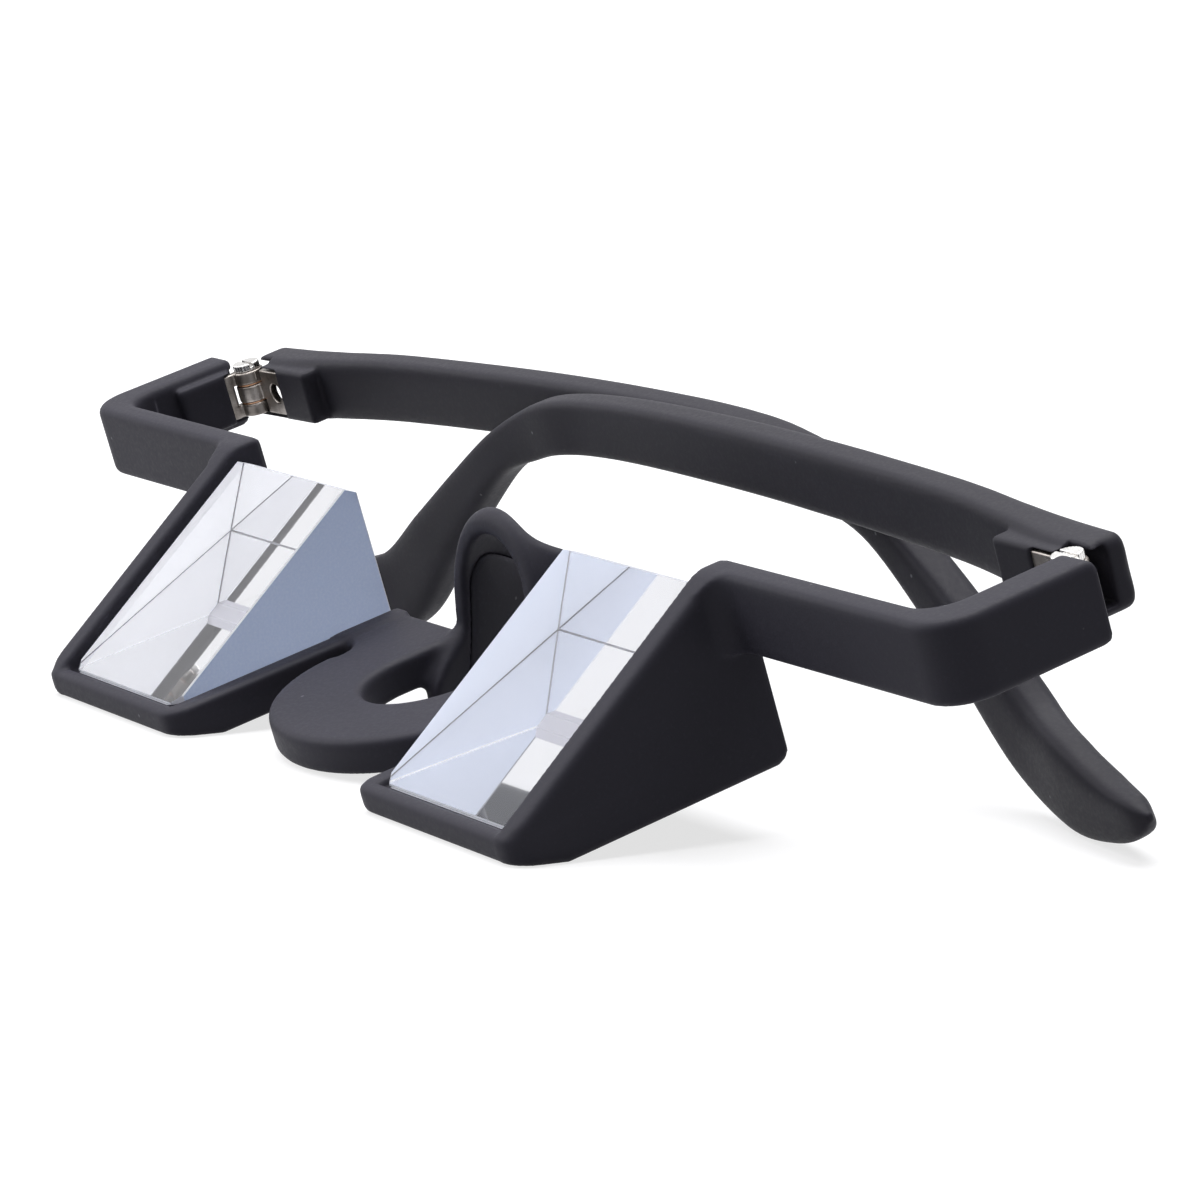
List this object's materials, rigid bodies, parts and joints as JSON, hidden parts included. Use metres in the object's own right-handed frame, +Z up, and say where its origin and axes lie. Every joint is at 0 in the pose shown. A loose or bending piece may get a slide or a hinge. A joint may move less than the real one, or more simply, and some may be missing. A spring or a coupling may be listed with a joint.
{
  "type": "belay glasses",
  "caption": "Prism glasses for looking up with a level head: glass prisms on shelves under a wide front, nose saddle and hinged temples folded behind.",
  "frame": {"origin": "middle of the footprint at table level, with the glasses standing on the lands under the two shelves and on the tips of the folded temples", "axes": "+X to the wearer's left, +Y to the rear (towards the wearer's face), +Z up"},
  "size_m": [0.1506, 0.0492, 0.0291],
  "materials": {
    "frame_plastic": "soft-touch black moulding, fine matt grain",
    "temple_plastic": "soft-touch black moulding, fine matt grain",
    "prism_glass": "polished optical glass with ground bevels and side faces",
    "mirror_coat": "metal reflecting coat",
    "adhesive": "cured black adhesive",
    "pad_rubber": "soft matt grey-black",
    "hinge_steel": "plated hinge metal, satin",
    "washer_bronze": "thin bronze washers"
  },
  "bodies": {
    "front": {"front_frame": "frame_plastic", "prism_right": "prism_glass", "prism_left": "prism_glass", "mirror_coat_right": "mirror_coat", "mirror_coat_left": "mirror_coat", "prism_glue_right": "adhesive", "prism_glue_left": "adhesive", "nose_pad_right": "pad_rubber", "nose_pad_left": "pad_rubber", "front_hinge_right": "hinge_steel", "front_hinge_left": "hinge_steel", "hinge_screw_right": "hinge_steel", "hinge_screw_left": "hinge_steel", "hinge_washers_right": "washer_bronze", "hinge_washers_left": "washer_bronze"},
    "temple_right_body": {"temple_right": "temple_plastic", "temple_hinge_right": "hinge_steel"},
    "temple_left_body": {"temple_left": "temple_plastic", "temple_hinge_left": "hinge_steel"}
  },
  "joints": [
    {"name": "right_temple_hinge", "type": "hinge", "parent": "front", "child": "temple_right_body", "pos_m": [-0.0702, 0.00953, 0.02271], "axis": [0, -0.2924, 0.9563], "range_deg": [0, 85.6]},
    {"name": "left_temple_hinge", "type": "hinge", "parent": "front", "child": "temple_left_body", "pos_m": [0.0702, 0.00953, 0.02271], "axis": [0, 0.2924, -0.9563], "range_deg": [-1.5, 0.2]}
  ]
}
